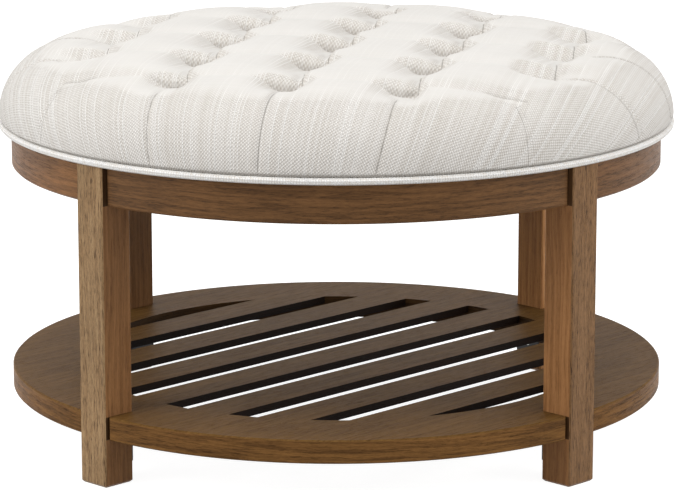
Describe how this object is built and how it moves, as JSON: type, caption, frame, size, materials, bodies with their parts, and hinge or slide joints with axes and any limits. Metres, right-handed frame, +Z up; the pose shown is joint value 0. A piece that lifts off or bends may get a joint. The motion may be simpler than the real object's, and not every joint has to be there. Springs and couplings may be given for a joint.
{
  "type": "ottoman coffee table",
  "caption": "Round tufted ottoman coffee table in pale linen with a piped edge, on square wooden legs with a curved apron and a round slatted shelf.",
  "frame": {"origin": "centre of the bounding box on the floor, under the middle of the round top", "axes": "+Z up, -Y towards the front, +X to the right as seen from the front; the four legs stand on the diagonals and the shelf's slats run along the diagonal from -X -Y to +X +Y"},
  "size_m": [0.8, 0.8, 0.4727],
  "materials": {
    "leg_wood": "matt, weathered oak",
    "rail_wood": "matt, weathered oak",
    "shelf_wood": "matt, weathered oak",
    "block_wood": "bare softwood",
    "plywood": "bare",
    "linen": "slubby linen weave",
    "foam": "open cell foam",
    "twine": "waxed twine",
    "dust_cloth": "thin black cloth",
    "zinc": "zinc plated",
    "black_steel": "black powder coat"
  },
  "bodies": {
    "root": {"leg_front_left": "leg_wood", "corner_block_front_left": "block_wood", "leg_front_right": "leg_wood", "corner_block_front_right": "block_wood", "leg_back_right": "leg_wood", "corner_block_back_right": "block_wood", "leg_back_left": "leg_wood", "corner_block_back_left": "block_wood", "apron_front": "rail_wood", "shelf_rim_front": "shelf_wood", "apron_right": "rail_wood", "shelf_rim_right": "shelf_wood", "apron_back": "rail_wood", "shelf_rim_back": "shelf_wood", "apron_left": "rail_wood", "shelf_rim_left": "shelf_wood", "shelf_slat_1": "shelf_wood", "shelf_slat_2": "shelf_wood", "shelf_slat_3": "shelf_wood", "shelf_slat_4": "shelf_wood", "shelf_slat_5": "shelf_wood", "shelf_slat_6": "shelf_wood", "shelf_slat_7": "shelf_wood", "leg_bolts": "zinc", "leg_washers": "zinc", "leg_nuts": "zinc", "rail_screws": "zinc", "seat_screws": "zinc", "rim_dowels": "block_wood", "shelf_brackets": "black_steel", "bracket_screws": "zinc", "seat_board": "plywood", "foam_pad": "foam", "piping": "linen", "dust_cover": "dust_cloth", "tuft_ties": "twine", "tufted_cover": "linen"}
  },
  "joints": []
}
